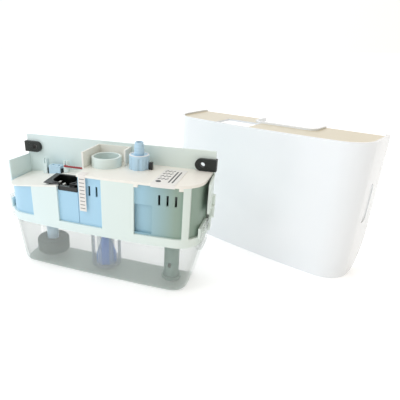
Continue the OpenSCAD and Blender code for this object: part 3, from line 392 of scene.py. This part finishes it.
def stroke(bm, place, long, wide, thick, lean=0, upright=False):
    # one printed stroke: a thin bar with round ends, lying on a label or standing on its front
    radius = min(long, wide) / 2
    reach = max(long, wide) / 2 - radius
    outline = []
    for side, shift in ((0, reach), (1, -reach)):
        for step in range(capSteps + 1):
            a = math.pi * (side + step / capSteps)
            outline.append((radius * math.cos(a), shift + radius * math.sin(a)))
    verts = [bm.verts.new((x, y, -thick / 2)) for x, y in outline]
    grown = bmesh.ops.extrude_face_region(bm, geom=[bm.faces.new(verts)])
    top = [item for item in grown["geom"] if isinstance(item, bmesh.types.BMVert)]
    bmesh.ops.translate(bm, verts=top, vec=(0, 0, thick))
    turn = Matrix.Rotation(math.radians(lean), 3, "Z")
    if upright:
        turn = Matrix.Rotation(math.radians(90), 3, "X") @ turn
    bmesh.ops.rotate(bm, verts=verts + top, cent=(0, 0, 0), matrix=turn)
    bmesh.ops.translate(bm, verts=verts + top, vec=place)


def finishMarks(bm, name, meshName, node):
    bmesh.ops.recalc_face_normals(bm, faces=bm.faces)
    finishPiece(meshFrom(bm, meshName), name, node, extraMaterials["ink"])


ratingMarks = {
    "thick": 0.1, "lift": 1 / 3,  # share of the thickness that a stroke's middle stands proud
    "rows": 4, "columns": 3, "inX": 3.2, "pitchX": 3.2, "inY": 15, "pitchY": 7.4,
    "long": 4.6, "wide": 1.1, "lean": 32,
    "blot": {"long": 5.5, "wide": 4.6, "inX": 4.4, "inY": 7.5},
    "bars": {"count": 2, "share": 0.7, "wide": 1.3, "inX": 4.2, "pitch": 3.2},
}


def addRatingMarks():
    # plain strokes and bars where the label carries its print
    low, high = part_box("rating_label")
    plan, blot, bars = ratingMarks, ratingMarks["blot"], ratingMarks["bars"]
    thick = plan["thick"] * mm
    z = high.z + thick * plan["lift"]
    bm = bmesh.new()
    for row in range(plan["rows"]):
        for column in range(plan["columns"]):
            x = low.x + (plan["inX"] + plan["pitchX"] * column) * mm
            y = low.y + (plan["inY"] + plan["pitchY"] * row) * mm
            stroke(bm, (x, y, z), plan["long"] * mm, plan["wide"] * mm, thick, -plan["lean"])
    stroke(bm, (low.x + blot["inX"] * mm, low.y + blot["inY"] * mm, z), blot["long"] * mm,
           blot["wide"] * mm, thick, plan["lean"])
    for bar in range(bars["count"]):
        x = high.x - (bars["inX"] + bars["pitch"] * bar) * mm
        stroke(bm, (x, (low.y + high.y) / 2, z), (high.y - low.y) * bars["share"],
               bars["wide"] * mm, thick)
    finishMarks(bm, "rating_marks", "ratingMarksMesh", "rating_label")


stripMarks = {"rows": 9, "share": 0.7, "wide": 0.45, "thick": 0.3, "first": 0.8, "bend": 2}


def stripFront(low, high):
    # where the label's upright face stands below its bend, read from its own mesh
    middle = (low.x + high.x) / 2
    points = [vert.co for vert in frame["nodes"]["strip_label"].data.vertices
              if vert.co.z < high.z - stripMarks["bend"] * mm]
    return min(points, key=lambda co: (abs(co.x - middle), co.y)).y


def addStripMarks():
    # ruled lines across the narrow label's upright face
    low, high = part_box("strip_label")
    plan = stripMarks
    x, y = (low.x + high.x) / 2, stripFront(low, high)
    pitch = (high.z - low.z) / (plan["rows"] + 1)
    bm = bmesh.new()
    for row in range(plan["rows"]):
        z = low.z + pitch * (row + plan["first"])
        stroke(bm, (x, y, z), (high.x - low.x) * plan["share"], plan["wide"] * mm,
               plan["thick"] * mm, 90, True)
    finishMarks(bm, "strip_marks", "stripMarksMesh", "strip_label")


dressPanel()
paintTankFloorShade()
addNutRim()
addNutTab()
addRatingMarks()
addStripMarks()
print("small pieces added")

floorPlan = {"size": 40.0, "drop": 0.05, "colour": "#FAFAFA", "shade": "#F7F7F7",
             "roughness": 0.5, "glowColour": "#FFFFFF", "glow": 0.3}


def addFloor():
    # white ground that runs out of sight, with a little light of its own
    bm = bmesh.new()
    bmesh.ops.create_grid(bm, x_segments=1, y_segments=1, size=floorPlan["size"] / 2)
    bmesh.ops.translate(bm, verts=bm.verts, vec=(0, 0, -floorPlan["drop"] * mm))
    mesh = meshFrom(bm, "floorMesh")
    floor = bpy.data.objects.new("floor", mesh)
    bpy.context.scene.collection.objects.link(floor)
    white = moulded("paleFloor", floorPlan["colour"], floorPlan["shade"], floorPlan["roughness"],
                    bump=0.0)
    shader = white.node_tree.nodes["Principled BSDF"]
    shader.inputs["Emission Color"].default_value = hexColour(floorPlan["glowColour"])
    shader.inputs["Emission Strength"].default_value = floorPlan["glow"]
    mesh.materials.append(white)


lamps = {
    "key": {"place": (-0.9, -0.8, 1.3), "size": 0.8, "power": 5, "colour": "#FFFFFF"},
    "top": {"place": (0.1, 0.2, 1.6), "size": 1.6, "power": 1, "colour": "#FFFFFF"},
    "fill": {"place": (1.2, -0.6, 0.7), "size": 1.2, "power": 0.15, "colour": "#FFF6F2"},
}
lampAim = Vector((0.08, 0.03, 0.06))


def addLamps():
    for name, plan in lamps.items():
        lamp = bpy.data.lights.new(name + "Light", "AREA")
        lamp.shape = "DISK"
        lamp.size = plan["size"]
        lamp.energy = plan["power"]
        lamp.color = hexColour(plan["colour"])[:3]
        holder = bpy.data.objects.new(name + "Light", lamp)
        bpy.context.scene.collection.objects.link(holder)
        holder.location = plan["place"]
        aim = lampAim - Vector(plan["place"])
        holder.rotation_euler = aim.to_track_quat("-Z", "Y").to_euler()


# each band is the part of an axis, from -1 to 1 round the room, over which a value changes
room = {"left": "#F1F8FF", "right": "#FFF3E4", "tintBand": (-0.6, 0.6), "front": 0.86,
        "behind": 1.15, "frontBand": (-0.7, 0.1), "near": 1.0, "far": 0.4, "farBand": (0.26, 0.6)}


def bandAcross(tree, source, band, low=0.0, high=1.0):
    # a value that runs from low to high across the band
    ramp = addNode(tree, "ShaderNodeMapRange", {"From Min": band[0], "From Max": band[1],
                                                "To Min": low, "To Max": high}, {"Value": source})
    return ramp.outputs["Result"]


def addWorld():
    # a bright sweep behind the object, dimmer in front, cool at the left, dark and warm at right
    world = bpy.data.worlds.new("studio")
    bpy.context.scene.world = world
    world.use_nodes = True
    tree = world.node_tree
    tree.nodes.clear()
    way = addNode(tree, "ShaderNodeTexCoord")
    parts = addNode(tree, "ShaderNodeSeparateXYZ", None, {"Vector": way.outputs["Generated"]})
    across, along = parts.outputs["X"], parts.outputs["Y"]
    tint = mixed(tree, bandAcross(tree, across, room["tintBand"]), room["left"], room["right"])
    power = addNode(tree, "ShaderNodeMath", {"operation": "MULTIPLY"})
    strengths = (bandAcross(tree, along, room["frontBand"], room["front"], room["behind"]),
                 bandAcross(tree, across, room["farBand"], room["near"], room["far"]))
    for socket, strength in zip(power.inputs, strengths):
        tree.links.new(strength, socket)
    sky = addNode(tree, "ShaderNodeBackground", None,
                  {"Color": tint, "Strength": power.outputs["Value"]})
    addNode(tree, "ShaderNodeOutputWorld", None, {"Surface": sky.outputs["Background"]})


# a plain camera fitted to the photograph: focal length, centre and image in its pixels
camera = {"focal": 377.1, "centre": (140, 205), "yaw": 21.05, "pitch": 22.71, "roll": 0.22,
          "place": (157.6, -306.3, 212.2), "image": 400, "sensor": 36}


def addCamera():
    data = bpy.data.cameras.new("camera")
    holder = bpy.data.objects.new("camera", data)
    bpy.context.scene.collection.objects.link(holder)
    yaw, pitch, roll = (math.radians(camera[k]) for k in ("yaw", "pitch", "roll"))
    forward = Vector((-math.sin(yaw) * math.cos(pitch), math.cos(yaw) * math.cos(pitch),
                      -math.sin(pitch)))
    flat = Vector((math.cos(yaw), math.sin(yaw), 0))
    upright = flat.cross(forward)
    right = flat * math.cos(roll) + upright * math.sin(roll)
    up = upright * math.cos(roll) - flat * math.sin(roll)
    turn = Matrix((right, up, -forward)).transposed().to_4x4()
    holder.matrix_world = Matrix.Translation(Vector(camera["place"]) * mm) @ turn
    image, (centreX, centreY) = camera["image"], camera["centre"]
    data.sensor_width = camera["sensor"]
    data.lens = camera["focal"] / image * camera["sensor"]
    data.shift_x = (image / 2 - centreX) / image
    data.shift_y = (centreY - image / 2) / image
    bpy.context.scene.camera = holder


addFloor()
addLamps()
addWorld()
addCamera()
bpy.context.scene.view_settings.view_transform = "Standard"
print("stage, lights and camera ready")
